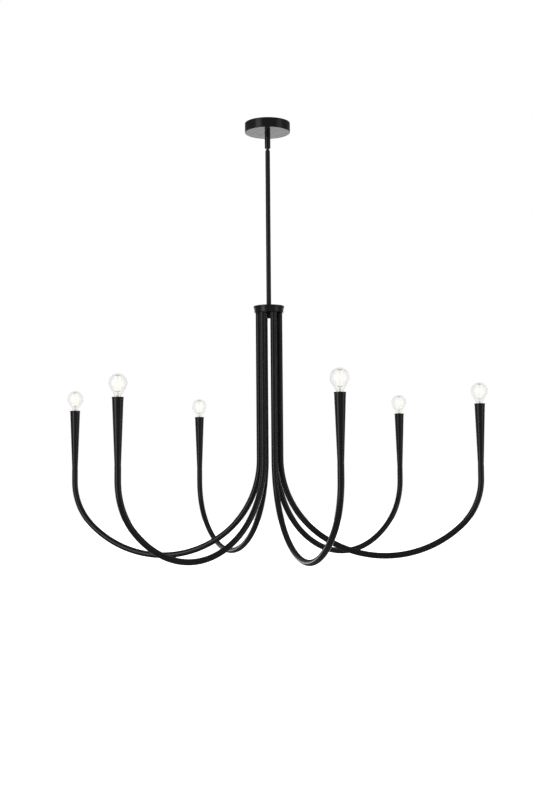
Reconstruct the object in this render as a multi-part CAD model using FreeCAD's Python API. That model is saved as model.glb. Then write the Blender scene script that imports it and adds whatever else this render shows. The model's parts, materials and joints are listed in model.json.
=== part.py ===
import FreeCAD, Part
import math
import os

# A six-arm candle chandelier that hangs from a ceiling box on a ball swivel.
# Millimetres, +Z up. The origin is the middle of the bracket, on the ceiling plane.

# ---------------------------------------------------------------- driving sizes
# ceiling canopy and what it hides
canopy_diameter = 123.0
canopy_height = 26.0
canopy_wall = 1.2
canopy_edge_round = 1.6
bracket_end_margin = 8.0
bracket_width = 18.0
bracket_thickness = 2.0
slot_length = 14.2
slot_width = 4.8
slot_end_wall = 5.5
ground_screw_place = 17.0
ground_screw_radius = 2.0
ground_head_radius = 4.0
ground_head_height = 2.4

# swivel neck: a barrel with a ball in its lower end
neck_length = 44.5
neck_wall = 1.5
neck_taper_height = 3.0
neck_lip_wall = 1.23
nipple_reach = 27.0
nipple_nut_wall = 3.4
nipple_nut_height = 4.0
nipple_bore_radius = 4.0
ball_radius = 5.2
ball_height_above_mouth = 3.2
ball_flat_height = 4.2
seat_ring_wall = 0.95
seat_top_below_ball = 1.8
seat_bottom_below_ball = 3.0
friction_ring_start = 0.4
friction_ring_height = 3.2
stem_radius = 2.4
stem_length = 4.6
collar_radius = 5.0
collar_below_ball = 6.2
spigot_length = 15.0
stem_bore_radius = 1.6

# rod
rod_diameter = 12.7
rod_wall = 1.2
rod_length = 427.3
rod_gap = 5.8
rod_chamfer = 0.6

# hub: a lidded drum that the six arms screw into
hub_height = 18.0
hub_lid_skirt = 5.0
hub_lid_plate = 2.0
hub_lid_wall = 1.35
hub_floor = 2.5
hub_wall = 1.3
hub_edge_margin = 1.8
hub_taper = 2.0
hub_edge_round = 0.8
hub_nut_height = 4.0
hub_nut_wall = 3.6
hub_nipple_bore_radius = 3.2
hub_nipple_reach = 18.0
finial_radius = 8.0
finial_height = 15.0
finial_dome_height = 5.0
finial_thread_depth = 9.5

# arms
arm_count = 6
hub_turn = -6.0
arm_rest_swing = [-1.1, -8.8, -1.0, -7.3, -3.9, -7.8]
arm_ring_radius = 28.2
tube_diameter = 16.0
tube_wall = 1.2
inner_leg_length = 392.9
shoulder_bend_radius = 253.0
shoulder_bend_turn = 54.3
belly_bend_radius = 292.8
belly_bend_turn = 79.6
tip_bend_radius = 165.7
outer_leg_length = 37.8
arm_shoulder_width = 3.6
ferrule_wall = 1.8
ferrule_above_floor = 6.5
arm_nut_wall = 3.3
arm_nut_height = 4.0
arm_plug_depth = 10.0
lead_radius = 1.3

# candle cup and lampholder
cup_height = 160.0
cup_rim_diameter = 28.0
cup_foot_inset = 0.2
cup_wall = 1.0
cup_floor = 2.0
cup_lip_height = 3.6
cup_lip_step = 0.35
holder_leg_radius = 4.3
holder_leg_bore_radius = 2.4
holder_leg_engagement = 8.0
holder_below_rim = 5.0
holder_height = 38.0
holder_side_gap = 1.05
holder_cavity_depth = 24.0
holder_contact_radius = 1.5
holder_contact_height = 1.0

# bulb
globe_diameter = 45.0
globe_neck_rise = 0.45
globe_taper = 30.0
glass_wall = 0.8
glass_neck_radius = 7.2
glass_neck_depth = 2.0
screw_radius = 5.95
screw_bottom = 19.0
tip_radius = 2.5
tip_cone_height = 3.0
tip_length = 2.0
skirt_wall = 0.95
skirt_bottom = 4.5
skirt_top = 0.5
filament_radius = 0.9
filament_circle = 5.0
filament_bottom = 14.5
filament_head_room = 7.7
filament_count = 4
filament_first_turn = 45.0
mount_radius = 2.2
mount_top = 12.5
crown_thickness = 1.0
crown_overhang = 0.6

# clearances
running = 0.05
seat_gap = 0.3
thread_gap = 0.05
easy_gap = 0.2
lid_gap = 0.15
lead_end_gap = 1.3
holder_screw_gap = 0.15

# ------------------------------------------------------------------ levels in Z
canopy_base_z = -canopy_height
neck_mouth_z = canopy_base_z - neck_length
ball_z = neck_mouth_z + ball_height_above_mouth
rod_top_z = neck_mouth_z - rod_gap
hub_top_z = rod_top_z - rod_length
hub_base_z = hub_top_z - hub_height
hub_floor_z = hub_base_z + hub_floor
bend_start_z = hub_base_z - inner_leg_length

# --------------------------------------------------------------- derived radii
canopy_radius = canopy_diameter / 2
bracket_length = canopy_diameter - 2 * canopy_wall - 2 * bracket_end_margin
slot_place = bracket_length / 2 - slot_end_wall - slot_length / 2
neck_bore_radius = ball_radius + seat_ring_wall + 2 * running
neck_radius = neck_bore_radius + neck_wall
nipple_radius = neck_bore_radius - thread_gap
rod_radius = rod_diameter / 2
rod_bore_radius = rod_radius - rod_wall
spigot_radius = rod_bore_radius - thread_gap
tube_radius = tube_diameter / 2
hub_base_radius = arm_ring_radius + tube_radius + hub_edge_margin
hub_shoulder_radius = hub_base_radius + hub_taper
hub_lid_bore = hub_shoulder_radius + lid_gap
ferrule_radius = tube_radius - arm_shoulder_width
ferrule_bore_radius = ferrule_radius - ferrule_wall
globe_radius = globe_diameter / 2

ORIGIN = FreeCAD.Vector(0, 0, 0)
UP = FreeCAD.Vector(0, 0, 1)
TOWARDS_VIEWER = FreeCAD.Vector(0, -1, 0)


# --------------------------------------------------------------- small helpers
def at(x, y, z):
    return FreeCAD.Vector(x, y, z)


def rod(radius, low, high, x=0.0, y=0.0):
    """A solid round bar along Z."""
    return Part.makeCylinder(radius, high - low, at(x, y, low))


def pipe(radius, bore, low, high, x=0.0, y=0.0):
    """A round bar along Z with a hole down its middle."""
    return rod(radius, low, high, x, y).cut(rod(bore, low, high, x, y))


def turned(start, *steps):
    """A body turned about Z. A step is one (r, z) point, or two for an arc: a middle and an end."""
    edges = []
    here = at(start[0], 0, start[1])
    for step in steps:
        if isinstance(step[0], tuple):
            middle = at(step[0][0], 0, step[0][1])
            end = at(step[1][0], 0, step[1][1])
            edges.append(Part.Arc(here, middle, end).toShape())
        else:
            end = at(step[0], 0, step[1])
            edges.append(Part.makeLine(here, end))
        here = end
    edges.append(Part.makeLine(here, at(start[0], 0, start[1])))
    return Part.Face(Part.Wire(edges)).revolve(ORIGIN, UP, 360)


def on_circle(radius, height):
    """How far from the middle line a circle's edge is at a height above its centre."""
    return math.sqrt(radius ** 2 - height ** 2)


def rounded_slot(length, width, low, high, x):
    """A bar with round ends, long along X, for cutting a slot."""
    half = (length - width) / 2
    middle = Part.makeBox(2 * half, width, high - low, at(x - half, -width / 2, low))
    ends = [rod(width / 2, low, high, x - half), rod(width / 2, low, high, x + half)]
    return middle.multiFuse(ends).removeSplitter()


def hex_nut(bore, wall, low, height, x=0.0, y=0.0):
    """A six-sided nut. The wall is from the bore to a corner."""
    corner = bore + wall
    corners = []
    for k in range(7):
        turn = math.radians(k * 360 / 6)
        corners.append(at(x + corner * math.cos(turn), y + corner * math.sin(turn), low))
    blank = Part.Face(Part.makePolygon(corners)).extrude(at(0, 0, height))
    return blank.cut(rod(bore, low, low + height, x, y))


def ball_zone(outer, inner, low, high):
    """The part of a hollow ball about the swivel's centre that lies between two heights."""
    ring = turned(
        (on_circle(inner, low), low),
        (on_circle(outer, low), low),
        ((on_circle(outer, (low + high) / 2), (low + high) / 2), (on_circle(outer, high), high)),
        (on_circle(inner, high), high),
    )
    hollow = Part.makeSphere(inner)
    ring = ring.cut(hollow)
    ring.translate(at(0, 0, ball_z))
    return ring


# ------------------------------------------------------------ ceiling fittings
def mounting_bracket():
    """A flat bar across the ceiling box, with a slot for a screw at each end."""
    low = -bracket_thickness
    corner = at(-bracket_length / 2, -bracket_width / 2, low)
    bar = Part.makeBox(bracket_length, bracket_width, bracket_thickness, corner)
    for side in (-1, 1):
        bar = bar.cut(rounded_slot(slot_length, slot_width, low, 0, side * slot_place))
    bar = bar.cut(rod(nipple_radius + thread_gap, low, 0))
    return bar.cut(rod(ground_screw_radius + running, low, 0, ground_screw_place))


def ground_screw():
    """The earth screw, head down, in the bracket."""
    shank = rod(ground_screw_radius, -bracket_thickness, 0, ground_screw_place)
    head_top = -bracket_thickness
    head = rod(ground_head_radius, head_top - ground_head_height, head_top, ground_screw_place)
    return shank.fuse(head).removeSplitter()


def canopy():
    """A shallow round pan, open at the ceiling, with a hole for the nipple in its floor."""
    edge = canopy_edge_round
    turn = edge * (1 - math.sqrt(0.5))
    inner = canopy_radius - canopy_wall
    hole = nipple_radius + easy_gap
    floor_top = canopy_base_z + canopy_wall
    inner_edge = edge - canopy_wall
    inner_turn = inner_edge * (1 - math.sqrt(0.5))
    return turned(
        (hole, canopy_base_z),
        (canopy_radius - edge, canopy_base_z),
        ((canopy_radius - turn, canopy_base_z + turn), (canopy_radius, canopy_base_z + edge)),
        (canopy_radius, 0),
        (inner, 0),
        (inner, floor_top + inner_edge),
        ((inner - inner_turn, floor_top + inner_turn), (inner - inner_edge, floor_top)),
        (hole, floor_top),
    )


def canopy_nipple():
    """The threaded pipe that carries the whole light from the bracket."""
    return pipe(nipple_radius, nipple_bore_radius, canopy_base_z - nipple_reach, 0)


def nipple_nuts():
    """One nut under the bracket and one on the canopy's floor."""
    bore = nipple_radius + thread_gap
    floor_top = canopy_base_z + canopy_wall
    upper_low = -bracket_thickness - nipple_nut_height
    upper = hex_nut(bore, nipple_nut_wall, upper_low, nipple_nut_height)
    lower = hex_nut(bore, nipple_nut_wall, floor_top, nipple_nut_height)
    return Part.makeCompound([upper, lower])


def swivel_housing():
    """The barrel under the canopy. Its bore ends in a round seat that holds the ball in."""
    mouth = on_circle(neck_bore_radius, ball_height_above_mouth)
    half_drop = ball_height_above_mouth / 2
    middle = (on_circle(neck_bore_radius, half_drop), ball_z - half_drop)
    return turned(
        (neck_bore_radius, canopy_base_z),
        (neck_bore_radius, ball_z),
        (middle, (mouth, neck_mouth_z)),
        (mouth + neck_lip_wall, neck_mouth_z),
        (neck_radius, neck_mouth_z + neck_taper_height),
        (neck_radius, canopy_base_z),
    )


def supply_lead():
    """The supply leads, bundled, from the ceiling box down to just above the ball."""
    return rod(lead_radius, ball_z + ball_radius + lead_end_gap, 0)


# --------------------------------------------------------------------- swivel
def ball_seat():
    """The nylon ring that the ball turns on, low in the seat."""
    return ball_zone(neck_bore_radius - running, ball_radius + running,
                     -seat_bottom_below_ball, -seat_top_below_ball)


def friction_ring():
    """The ring round the upper half of the ball, which keeps it from rattling."""
    top = friction_ring_start + friction_ring_height
    return ball_zone(neck_bore_radius - running, ball_radius + running, friction_ring_start, top)


def ball_stud():
    """A drilled ball on a stem, with a collar and a spigot that screws into the rod."""
    flat = on_circle(ball_radius, ball_flat_height)
    stem_top = on_circle(ball_radius, stem_radius)
    spigot_low = rod_top_z - ball_z - spigot_length
    stud = turned(
        (stem_bore_radius, spigot_low),
        (spigot_radius, spigot_low),
        (spigot_radius, rod_top_z - ball_z),
        (collar_radius, rod_top_z - ball_z),
        (collar_radius, -collar_below_ball),
        (stem_radius, -stem_length),
        (stem_radius, -stem_top),
        ((ball_radius, 0), (flat, ball_flat_height)),
        (stem_bore_radius, ball_flat_height),
    )
    stud.translate(at(0, 0, ball_z))
    return stud


# ---------------------------------------------------------------- rod and hub
def stem_rod():
    """The straight pipe between the swivel and the hub."""
    tube = turned(
        (rod_bore_radius, hub_top_z),
        (rod_radius, hub_top_z),
        (rod_radius, rod_top_z - rod_chamfer),
        (rod_radius - rod_chamfer, rod_top_z),
        (rod_bore_radius, rod_top_z),
    )
    return tube


def rod_lead():
    """The leads inside the rod, from the ball down into the hub."""
    return rod(lead_radius, hub_floor_z, ball_z + ball_flat_height)


def hub_nipple():
    """The threaded pipe that joins the rod, the two halves of the hub and the finial."""
    low = hub_base_z - finial_thread_depth
    high = hub_top_z + hub_nipple_reach
    return pipe(spigot_radius, hub_nipple_bore_radius, low, high)


def hub_nuts():
    """One nut under the lid and one on the drum's floor."""
    bore = spigot_radius + thread_gap
    under_lid = hub_top_z - hub_lid_plate - hub_nut_height
    upper = hex_nut(bore, hub_nut_wall, under_lid, hub_nut_height)
    lower = hex_nut(bore, hub_nut_wall, hub_floor_z, hub_nut_height)
    return Part.makeCompound([upper, lower])


def hub_lid():
    """The round lid. Its skirt stands a little proud of the drum."""
    radius = hub_lid_bore + hub_lid_wall
    edge = hub_edge_round
    turn = edge * (1 - math.sqrt(0.5))
    hole = spigot_radius + easy_gap
    skirt_low = hub_top_z - hub_lid_skirt
    return turned(
        (hole, hub_top_z - hub_lid_plate),
        (hub_lid_bore, hub_top_z - hub_lid_plate),
        (hub_lid_bore, skirt_low),
        (radius, skirt_low),
        (radius, hub_top_z - edge),
        ((radius - turn, hub_top_z - turn), (radius - edge, hub_top_z)),
        (hole, hub_top_z),
    )


def arm_hole_centre(arm):
    """Where an arm's own axis passes through the hub."""
    angle = math.radians(hub_turn + arm * 360 / arm_count)
    return arm_ring_radius * math.cos(angle), arm_ring_radius * math.sin(angle)


def hub_drum():
    """The drum whose floor carries the six arms."""
    edge = hub_edge_round
    turn = edge * (1 - math.sqrt(0.5))
    top = hub_top_z - hub_lid_plate
    drum = turned(
        (spigot_radius + easy_gap, hub_base_z),
        (hub_base_radius - edge, hub_base_z),
        ((hub_base_radius - turn, hub_base_z + turn), (hub_base_radius, hub_base_z + edge)),
        (hub_shoulder_radius, top),
        (hub_shoulder_radius - hub_wall, top),
        (hub_base_radius - hub_wall, hub_floor_z),
        (spigot_radius + easy_gap, hub_floor_z),
    )
    for arm in range(arm_count):
        x, y = arm_hole_centre(arm)
        drum = drum.cut(rod(ferrule_radius + running, hub_base_z, hub_floor_z, x, y))
    return drum


def arm_lock_nuts():
    """A nut on each arm's ferrule, tight on the drum's floor."""
    nuts = []
    for arm in range(arm_count):
        x, y = arm_hole_centre(arm)
        nuts.append(hex_nut(ferrule_radius + running, arm_nut_wall, hub_floor_z, arm_nut_height, x, y))
    return Part.makeCompound(nuts)


def finial():
    """The round cap nut that closes the hub from below."""
    low = hub_base_z - finial_height
    bend = low + finial_dome_height
    middle = math.sqrt(0.5)
    thread_bore = spigot_radius + thread_gap
    thread_top = hub_base_z - finial_thread_depth
    return turned(
        (0, low),
        ((finial_radius * middle, bend - finial_dome_height * middle), (finial_radius, bend)),
        (finial_radius, hub_base_z),
        (thread_bore, hub_base_z),
        (thread_bore, thread_top),
        (0, thread_top),
    )


# ------------------------------------------------------------------------ arms
# An arm is drawn in its own plane: X runs outwards from its axis in the hub.
def arm_bends():
    """The three bends of an arm, each a radius and the angle that it turns through."""
    tip_turn = 180 - shoulder_bend_turn - belly_bend_turn
    return [
        (shoulder_bend_radius, shoulder_bend_turn),
        (belly_bend_radius, belly_bend_turn),
        (tip_bend_radius, tip_turn),
    ]


def bend_ends():
    """For each bend: where it starts, its centre, its turn, and then where the last one ends."""
    here = at(0, 0, bend_start_z)
    heading = 0.0
    bends = []
    for radius, turn in arm_bends():
        inward = at(math.cos(math.radians(heading)), 0, math.sin(math.radians(heading)))
        centre = here + inward * radius
        bends.append((here, heading, centre, turn))
        heading += turn
        outward = at(math.cos(math.radians(heading)), 0, math.sin(math.radians(heading)))
        here = centre - outward * radius
    return bends, here


BENDS, BEND_END = bend_ends()
arm_reach = BEND_END.x
arm_top_z = BEND_END.z + outer_leg_length
cup_foot_z = arm_top_z + easy_gap
cup_rim_z = cup_foot_z + cup_height
holder_top_z = cup_rim_z - holder_below_rim
holder_base_z = holder_top_z - holder_height


def round_section(centre, heading, radius, bore):
    """A disc, or a ring if it has a bore, square to the tube at a point of its path."""
    along = at(math.sin(math.radians(heading)), 0, -math.cos(math.radians(heading)))
    outer = Part.Wire(Part.makeCircle(radius, centre, along))
    if bore == 0:
        return Part.Face(outer)
    inner = Part.Wire(Part.makeCircle(bore, centre, along))
    return Part.Face(outer).cut(Part.Face(inner)).Faces[0]


def along_arm(radius, bore, top, end):
    """A round body that follows an arm: down, round the three bends and up again."""
    pieces = []
    start = at(0, 0, top)
    pieces.append(round_section(start, 0, radius, bore).extrude(at(0, 0, bend_start_z - top)))
    for here, heading, centre, turn in BENDS:
        pieces.append(round_section(here, heading, radius, bore).revolve(centre, TOWARDS_VIEWER, turn))
    pieces.append(round_section(BEND_END, 180, radius, bore).extrude(at(0, 0, end - BEND_END.z)))
    return pieces[0].multiFuse(pieces[1:]).removeSplitter()


def arm_tube():
    """The bent pipe, with a ferrule brazed into its hub end and a tapped plug in its outer end."""
    top = hub_base_z - seat_gap
    bore = tube_radius - tube_wall
    tube = along_arm(tube_radius, bore, top, arm_top_z)
    shoulder = pipe(bore, ferrule_bore_radius, top - arm_plug_depth, top)
    ferrule = pipe(ferrule_radius, ferrule_bore_radius,
                   top - arm_plug_depth, hub_floor_z + ferrule_above_floor)
    plug = pipe(bore, holder_leg_radius + thread_gap, arm_top_z - arm_plug_depth, arm_top_z, arm_reach)
    return tube.multiFuse([shoulder, ferrule, plug]).removeSplitter()


def arm_lead():
    """The leads inside an arm, from the hub to the lampholder."""
    return along_arm(lead_radius, 0, hub_floor_z + ferrule_above_floor, holder_base_z)


def cup_side(height):
    """The outer radius of the cup's straight taper at a height."""
    foot = tube_radius - cup_foot_inset
    rim = cup_rim_diameter / 2 - cup_lip_step
    return foot + (rim - foot) * (height - cup_foot_z) / cup_height


def candle_cup():
    """The tapered sleeve on the end of an arm, with a thin lip round its rim."""
    rim = cup_rim_diameter / 2
    lip_low = cup_rim_z - cup_lip_height
    floor_top = cup_foot_z + cup_floor
    hole = holder_leg_radius + easy_gap
    cup = turned(
        (hole, cup_foot_z),
        (cup_side(cup_foot_z), cup_foot_z),
        (cup_side(lip_low), lip_low),
        (rim, lip_low),
        (rim, cup_rim_z),
        (cup_side(cup_rim_z) - cup_wall, cup_rim_z),
        (cup_side(floor_top) - cup_wall, floor_top),
        (hole, floor_top),
    )
    return moved_out(cup)


def lampholder():
    """The screw lampholder on its threaded leg, which also holds the cup down."""
    leg_low = arm_top_z - holder_leg_engagement
    leg = pipe(holder_leg_radius, holder_leg_bore_radius, leg_low, holder_base_z)
    cavity_base = holder_top_z - holder_cavity_depth
    body = rod(cup_side(holder_base_z) - cup_wall - holder_side_gap, holder_base_z, holder_top_z)
    body = body.cut(rod(screw_radius + holder_screw_gap, cavity_base, holder_top_z))
    contact = rod(holder_contact_radius, cavity_base, cavity_base + holder_contact_height)
    return moved_out(body.multiFuse([leg, contact]).removeSplitter())


# ----------------------------------------------------------------------- bulb
def globe_centre_z():
    """The ball stands on a cone that narrows to the neck just above the cup's rim."""
    taper = math.radians(globe_taper)
    cone_height = (globe_radius * math.cos(taper) - glass_neck_radius) / math.tan(taper)
    return cup_rim_z + globe_neck_rise + cone_height + globe_radius * math.sin(taper)


def globe_outline(radius):
    """Where a ball of this radius meets its cone, a point half way up it, and its top."""
    centre = globe_centre_z()
    taper = math.radians(globe_taper)
    shoulder = (radius * math.cos(taper), centre - radius * math.sin(taper))
    half_way = math.radians((90 - globe_taper) / 2)
    middle = (radius * math.cos(half_way), centre + radius * math.sin(half_way))
    return shoulder, middle, (0, centre + radius)


def bulb_glass():
    """The clear globe, one thin wall, open where the screw cap grips its neck."""
    shoulder, middle, top = globe_outline(globe_radius)
    inner_shoulder, inner_middle, inner_top = globe_outline(globe_radius - glass_wall)
    taper = math.tan(math.radians(globe_taper))
    inner_neck = glass_neck_radius - glass_wall
    neck_top = shoulder[1] - (shoulder[0] - glass_neck_radius) / taper
    inner_neck_top = inner_shoulder[1] - (inner_shoulder[0] - inner_neck) / taper
    bottom = cup_rim_z - glass_neck_depth
    glass = turned(
        (glass_neck_radius, bottom),
        (glass_neck_radius, neck_top),
        shoulder,
        (middle, top),
        inner_top,
        (inner_middle, inner_shoulder),
        (inner_neck, inner_neck_top),
        (inner_neck, bottom),
    )
    return moved_out(glass)


def bulb_cap():
    """The screw cap, with its skirt round the neck and its centre contact below."""
    pocket = glass_neck_radius + running
    skirt = pocket + skirt_wall
    base = cup_rim_z - screw_bottom
    cap = turned(
        (0, cup_rim_z - glass_neck_depth - thread_gap),
        (pocket, cup_rim_z - glass_neck_depth - thread_gap),
        (pocket, cup_rim_z - skirt_top),
        (skirt, cup_rim_z - skirt_top),
        (skirt, cup_rim_z - skirt_bottom),
        (screw_radius, cup_rim_z - skirt_bottom),
        (screw_radius, base),
        (tip_radius, base - tip_cone_height),
        (tip_radius, base - tip_cone_height - tip_length),
        (0, base - tip_cone_height - tip_length),
    )
    return moved_out(cap)


def bulb_filaments():
    """The glass mount and the upright light strips that stand round it."""
    mount = rod(mount_radius, cup_rim_z - glass_neck_depth, cup_rim_z + mount_top)
    foot = cup_rim_z + filament_bottom
    top = globe_centre_z() + globe_radius - glass_wall - filament_head_room - crown_thickness
    strips = []
    for k in range(filament_count):
        turn = math.radians(filament_first_turn + k * 360 / filament_count)
        x = filament_circle * math.cos(turn)
        y = filament_circle * math.sin(turn)
        strips.append(rod(filament_radius, foot - crown_thickness, top, x, y))
    spread = filament_circle + crown_overhang
    star = rod(spread, foot - 2 * crown_thickness, foot - crown_thickness)
    neck = rod(mount_radius / 2, cup_rim_z + mount_top, foot - 2 * crown_thickness)
    crown = rod(spread, top, top + crown_thickness)
    return moved_out(mount.multiFuse([neck, star, crown] + strips).removeSplitter())


# ------------------------------------------------------- placing and exporting
def moved_out(shape):
    """Carries a body made on the Z axis out to the end of the arm."""
    shape.translate(at(arm_reach, 0, 0))
    return shape


def place_on_arm(shape, arm):
    """Turns a body from the arm's own plane to the way the arm points, and takes it to its hole."""
    x, y = arm_hole_centre(arm)
    placed = shape.copy()
    placed.rotate(ORIGIN, UP, hub_turn + arm * 360 / arm_count + arm_rest_swing[arm])
    placed.translate(at(x, y, 0))
    return placed


nodes = {
    "mounting_bracket": mounting_bracket(),
    "ground_screw": ground_screw(),
    "nipple_nuts": nipple_nuts(),
    "canopy_nipple": canopy_nipple(),
    "canopy": canopy(),
    "swivel_housing": swivel_housing(),
    "supply_lead": supply_lead(),
    "ball_seat": ball_seat(),
    "friction_ring": friction_ring(),
    "ball_stud": ball_stud(),
    "stem_rod": stem_rod(),
    "rod_lead": rod_lead(),
    "hub_nipple": hub_nipple(),
    "hub_nuts": hub_nuts(),
    "hub_lid": hub_lid(),
    "hub_drum": hub_drum(),
    "arm_lock_nuts": arm_lock_nuts(),
    "finial": finial(),
}
arm_pieces = {
    "arm_tube": arm_tube(),
    "arm_lead": arm_lead(),
    "candle_cup": candle_cup(),
    "lampholder": lampholder(),
    "bulb_glass": bulb_glass(),
    "bulb_cap": bulb_cap(),
    "bulb_filaments": bulb_filaments(),
}
for piece, shape in arm_pieces.items():
    for arm in range(arm_count):
        nodes[f"{piece}_{arm + 1}"] = place_on_arm(shape, arm)

os.makedirs("parts", exist_ok=True)
for name, shape in nodes.items():
    if not shape.isValid():
        raise SystemExit(f"{name} isn't a valid shape")
    shape.exportStep(f"parts/{name}.step")
    print(f"{name}: {len(shape.Solids)} solid(s), {shape.Volume:.1f} cubic mm")
print(f"{len(nodes)} nodes; arm reach {arm_reach:.1f}, cup rim at {cup_rim_z:.1f}")
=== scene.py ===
# %% [markdown]
# # A six-arm candle chandelier
# The chandelier is already built as a CAD model: its sizes, its hidden fittings and its joints are settled.
# This lesson gives it its looks. Each part that shows is modelled again as a maker would shape it, with soft
# edges and a smooth skin, and gets a finish. The hidden fittings stay as the CAD model has them.
#
# The CAD model is loaded first and stays where it is. Everything after is measured from it, in metres.

# %% Load the frame and keep its box
import json
import math

import bmesh
import bpy
from mathutils import Matrix, Vector


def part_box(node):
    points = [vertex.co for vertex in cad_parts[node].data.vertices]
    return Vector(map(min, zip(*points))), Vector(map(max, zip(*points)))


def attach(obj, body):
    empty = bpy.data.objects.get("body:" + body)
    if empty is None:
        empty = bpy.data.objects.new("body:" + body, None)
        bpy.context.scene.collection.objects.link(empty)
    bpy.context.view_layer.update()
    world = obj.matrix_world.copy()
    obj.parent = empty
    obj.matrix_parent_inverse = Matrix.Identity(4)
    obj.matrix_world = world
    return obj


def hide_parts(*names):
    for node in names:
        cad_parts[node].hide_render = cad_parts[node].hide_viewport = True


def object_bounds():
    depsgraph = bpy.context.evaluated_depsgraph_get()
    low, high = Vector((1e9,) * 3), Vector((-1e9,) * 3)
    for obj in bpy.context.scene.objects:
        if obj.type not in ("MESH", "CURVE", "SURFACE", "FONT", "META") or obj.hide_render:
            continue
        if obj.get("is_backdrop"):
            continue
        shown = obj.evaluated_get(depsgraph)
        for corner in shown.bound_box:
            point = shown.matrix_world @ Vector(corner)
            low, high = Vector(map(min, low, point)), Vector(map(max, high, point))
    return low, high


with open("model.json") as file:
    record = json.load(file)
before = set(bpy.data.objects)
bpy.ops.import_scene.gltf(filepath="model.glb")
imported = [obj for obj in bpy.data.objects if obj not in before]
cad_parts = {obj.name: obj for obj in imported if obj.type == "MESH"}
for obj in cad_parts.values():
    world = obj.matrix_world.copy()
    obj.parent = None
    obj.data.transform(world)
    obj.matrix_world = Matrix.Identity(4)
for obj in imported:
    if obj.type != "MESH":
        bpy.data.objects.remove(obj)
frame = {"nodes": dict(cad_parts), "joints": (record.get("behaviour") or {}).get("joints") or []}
cad_low, cad_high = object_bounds()
MM = 0.001
ARMS = range(1, 7)
print("CAD box:", [round(v, 4) for v in cad_low], [round(v, 4) for v in cad_high])

# %% [markdown]
# ## The view
# The light hangs from a ceiling. The camera stands low, a little above the lowest bends, and looks slightly
# upwards, so the canopy shows its underside. A long lens from over three metres keeps the near and the far
# arms at nearly the same scale. The camera could be aimed at a target, but set angles also give the view its
# slight lean.

# %% Camera
view_place = (0, -3.3318, -0.9757)
view_lift = math.radians(3.746)
view_swing = math.radians(0.121)
view_lean = math.radians(-0.451)
lens_length = 55.76
sensor_width = 36
bpy.ops.object.camera_add(location=view_place)
camera = bpy.context.object
camera.name = "front_view"
camera.data.lens = lens_length
camera.data.sensor_width = sensor_width
facing = Matrix.Rotation(view_swing, 4, "Z") @ Matrix.Rotation(math.pi / 2 + view_lift, 4, "X")
camera.rotation_euler = (facing @ Matrix.Rotation(view_lean, 4, "Z")).to_euler()
bpy.context.scene.camera = camera
bpy.context.scene.view_settings.view_transform = "Standard"
print("camera stands", round(-view_place[1], 2), "m in front of the rod")

# %% [markdown]
# ## The studio
# Black metal shows almost nothing of its own colour: what the eye sees is what it reflects. A white room
# would turn it grey. So two tall soft boxes in front, one each side, draw a soft upright streak on every
# tube, and between them the coat stays dark. Two weaker boxes behind do the same for anyone who walks
# round. Each box's power grows with its area, so its brightness can be set apart from its size.

# %% Soft boxes
middle = (cad_low + cad_high) / 2


def soft_box(name, azimuth, distance, width, height, brightness):
    """A tall soft light that faces the middle of the chandelier. Azimuth 0 is the viewer's side."""
    angle = math.radians(azimuth)
    away = Vector((math.sin(angle), -math.cos(angle), 0))
    bpy.ops.object.light_add(type="AREA", location=middle + away * distance)
    lamp = bpy.context.object
    lamp.name = name
    lamp.rotation_euler = away.to_track_quat("Z", "Y").to_euler()
    lamp.data.shape = "RECTANGLE"
    lamp.data.size = width
    lamp.data.size_y = height
    lamp.data.energy = brightness * math.pi * width * height
    lamp.visible_camera = False
    print(f"{name}: {width} by {height} m, {lamp.data.energy:.1f} W")


soft_box("left_box", -46, 2.6, 1.3, 2.8, 1.4)
soft_box("right_box", 64, 2.6, 1.3, 2.8, 0.6)
soft_box("back_left_box", -140, 3.0, 1.0, 2.6, 0.5)
soft_box("back_right_box", 140, 3.0, 1.0, 2.6, 0.5)

# %% [markdown]
# ### Floor and low wall
# The floor is a plain pale disc far below. It could be lit from above, but then the light would cast
# shadows on it, so it shines by itself. It is hidden from reflections, because a bright floor would grey
# the undersides of all the bends. Behind the chandelier stands a long, low white wall. The canopy's flat
# underside mirrors it at a low angle and turns a light grey, while the upright tubes hardly see it.

# %% Floor and low wall
floor_depth = 2.75
floor_radius = 40
floor_glow = 1.0
wall_away = 7
wall_top = -1.3
wall_width = 24
wall_height = 1.7
wall_glow = 1.5


def glowing(name, strength):
    """A white surface that also shines by itself, so that it never shows a shadow."""
    glow = bpy.data.materials.new(name)
    glow.use_nodes = True
    shader = glow.node_tree.nodes["Principled BSDF"]
    shader.inputs["Base Color"].default_value = (0.2, 0.2, 0.2, 1)
    shader.inputs["Emission Color"].default_value = (1, 1, 1, 1)
    shader.inputs["Emission Strength"].default_value = strength
    glow.cycles.emission_sampling = "NONE"
    return glow


bpy.ops.mesh.primitive_circle_add(vertices=96, radius=floor_radius, fill_type="NGON",
                                  location=(0, 0, -floor_depth))
floor = bpy.context.object
floor.name = "floor"
floor.data.materials.append(glowing("white_floor", floor_glow))
floor.visible_glossy = False
floor.visible_diffuse = False
floor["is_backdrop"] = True

bpy.ops.mesh.primitive_plane_add(size=1)
wall = bpy.context.object
wall.name = "low_wall"
bpy.ops.object.mode_set(mode="EDIT")
bpy.ops.transform.resize(value=(wall_width, wall_height, 1))
bpy.ops.transform.rotate(value=math.pi / 2, orient_axis="X", center_override=(0, 0, 0))
bpy.ops.transform.translate(value=(0, wall_away, wall_top - wall_height / 2))
bpy.ops.object.mode_set(mode="OBJECT")
wall_paint = glowing("white_wall", wall_glow)
wall.data.materials.append(wall_paint)
wall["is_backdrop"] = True
print("floor", floor_depth, "m under the ceiling; wall", wall_away, "m behind the rod")

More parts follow.
